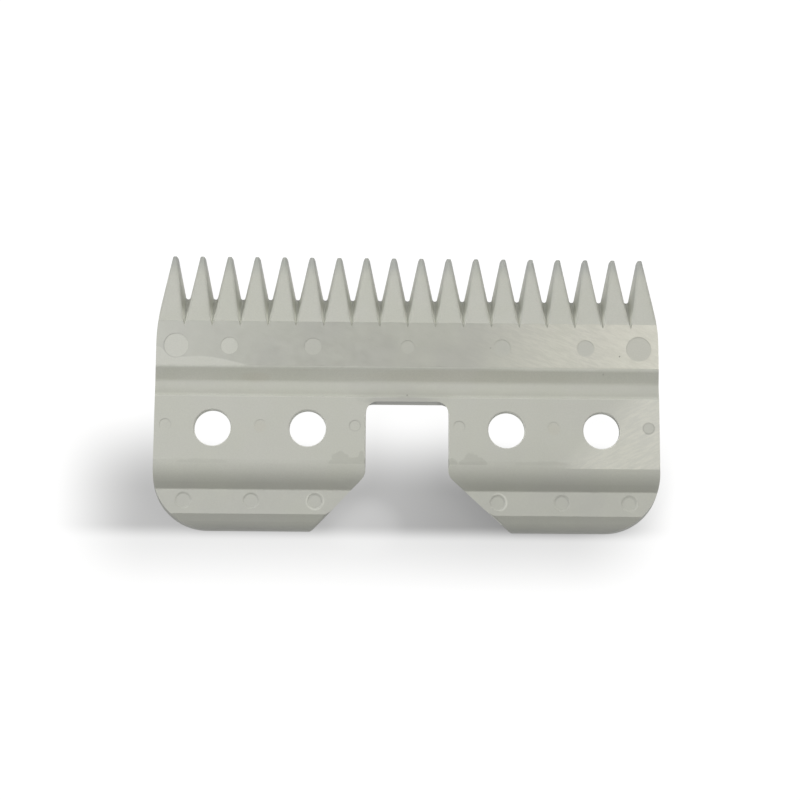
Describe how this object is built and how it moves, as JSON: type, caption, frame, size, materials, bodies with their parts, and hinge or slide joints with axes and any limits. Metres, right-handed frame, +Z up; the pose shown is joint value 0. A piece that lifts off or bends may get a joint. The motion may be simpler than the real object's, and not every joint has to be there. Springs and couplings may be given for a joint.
{
  "type": "clipper blade cutter",
  "caption": "Flat one-piece ceramic cutter for a pet clipper: a row of tapered teeth, a guide groove, a drive notch open to the rear and a row of through holes.",
  "frame": {"origin": "middle of the footprint on the flat cutting face, which lies on z = 0", "axes": "+X runs along the row of teeth, +Y points from the rear edge towards the tooth tips, +Z points up from the cutting face to the side with the groove"},
  "size_m": [0.0446, 0.0246, 0.0033],
  "materials": {
    "ceramic": "unglazed dense technical ceramic, pale grey green, matt as fired, with the front land ground and lapped to a faint sheen"
  },
  "bodies": {
    "root": {"cutter_blade": "ceramic"}
  },
  "joints": []
}
